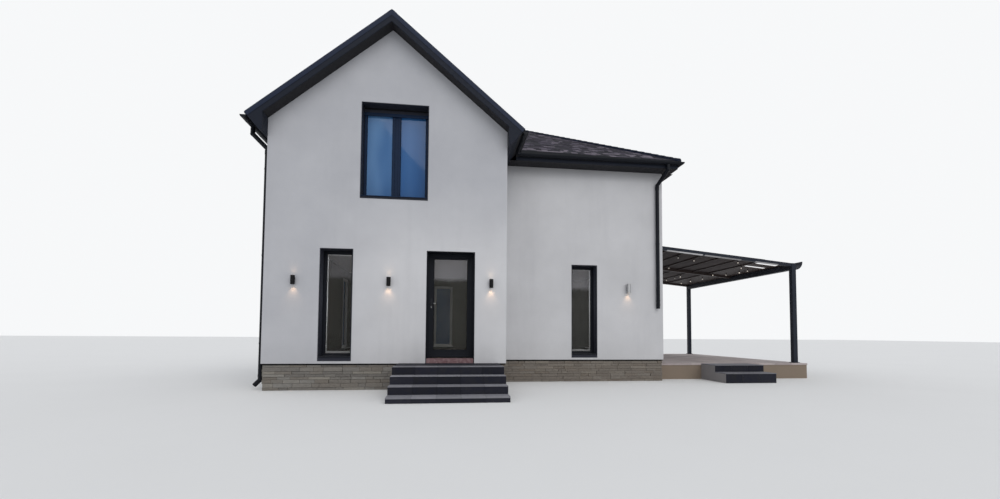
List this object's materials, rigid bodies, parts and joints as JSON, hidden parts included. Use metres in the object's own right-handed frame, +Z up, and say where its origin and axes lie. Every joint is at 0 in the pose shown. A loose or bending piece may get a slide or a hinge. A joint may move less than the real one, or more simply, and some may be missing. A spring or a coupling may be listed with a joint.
{
  "type": "detached house",
  "caption": "Detached house with a gabled front block, a hipped side wing, entrance steps, a raised terrace and a lean-to pergola; its front door opens.",
  "frame": {"origin": "ground level on the centre line of the front wall, under the middle of the front gable", "axes": "+X to the right along the front, +Y from the front to the back, +Z up"},
  "size_m": [13.8125, 10.2353, 7.7708],
  "materials": {
    "plaster": "pale grey fine-grained wall plaster",
    "plinth_stone": "rough split-face stone strips",
    "floor_wood": "plain finished floor",
    "inner_ceiling": "plain painted floor slab",
    "roof_tile": "charcoal laminated roof shingles",
    "trim": "satin anthracite boards",
    "gutter_metal": "satin anthracite sheet metal",
    "frame_metal": "satin anthracite profiles",
    "window_glass": "clear double glazing",
    "door_glass": "clear double glazing",
    "threshold_stone": "reddish-brown coated threshold",
    "handle_steel": "brushed steel lever set",
    "hinge_steel": "plain steel hinges",
    "lamp_black": "matt black up-and-down wall lamps",
    "lamp_silver": "pale metal wall lamp",
    "step_stone": "charcoal stone with pale worn edges",
    "terrace_concrete": "light grey cast concrete",
    "pergola_metal": "powder-coated anthracite aluminium",
    "cover_cloth": "taut dark brown coated cloth"
  },
  "bodies": {
    "house": {"plinth": "plinth_stone", "ground_floor": "floor_wood", "upper_floor": "inner_ceiling", "front_wall_left": "plaster", "front_wall_right": "plaster", "front_gable_wall": "plaster", "left_wall": "plaster", "rear_gable_wall": "plaster", "return_wall": "plaster", "wing_front_wall": "plaster", "wing_end_wall": "plaster", "wing_rear_wall": "plaster", "gable_roof_left": "roof_tile", "gable_roof_right": "roof_tile", "verge_boards": "trim", "eave_boxes": "trim", "wing_roof_front": "roof_tile", "wing_roof_end": "roof_tile", "wing_roof_rear": "roof_tile", "wing_eaves": "trim", "roof_caps": "roof_tile", "gutters": "gutter_metal", "downpipes": "gutter_metal", "window_linings": "frame_metal", "window_frames": "frame_metal", "window_glass": "window_glass", "window_sills": "frame_metal", "door_frame": "frame_metal", "door_threshold": "threshold_stone", "door_hinge_pins": "hinge_steel", "wall_lamps": "lamp_black", "side_lamp": "lamp_silver", "entry_step_1": "step_stone", "entry_step_2": "step_stone", "entry_step_3": "step_stone", "entry_landing": "step_stone", "terrace": "terrace_concrete", "terrace_steps": "step_stone", "pergola_posts": "pergola_metal", "pergola_outer_beam": "pergola_metal", "pergola_wall_beam": "pergola_metal", "pergola_rails": "pergola_metal", "pergola_cross_bars": "pergola_metal", "pergola_slats": "pergola_metal", "pergola_cover": "cover_cloth"},
    "door": {"front_door": "frame_metal", "front_door_glass": "door_glass", "front_door_handle": "handle_steel", "door_hinge_barrels": "hinge_steel"}
  },
  "joints": [
    {"name": "front_door_hinge", "type": "hinge", "parent": "house", "child": "door", "pos_m": [1.697, 0.166, 1.73], "axis": [0, 0, -1], "range_deg": [0, 95]}
  ]
}
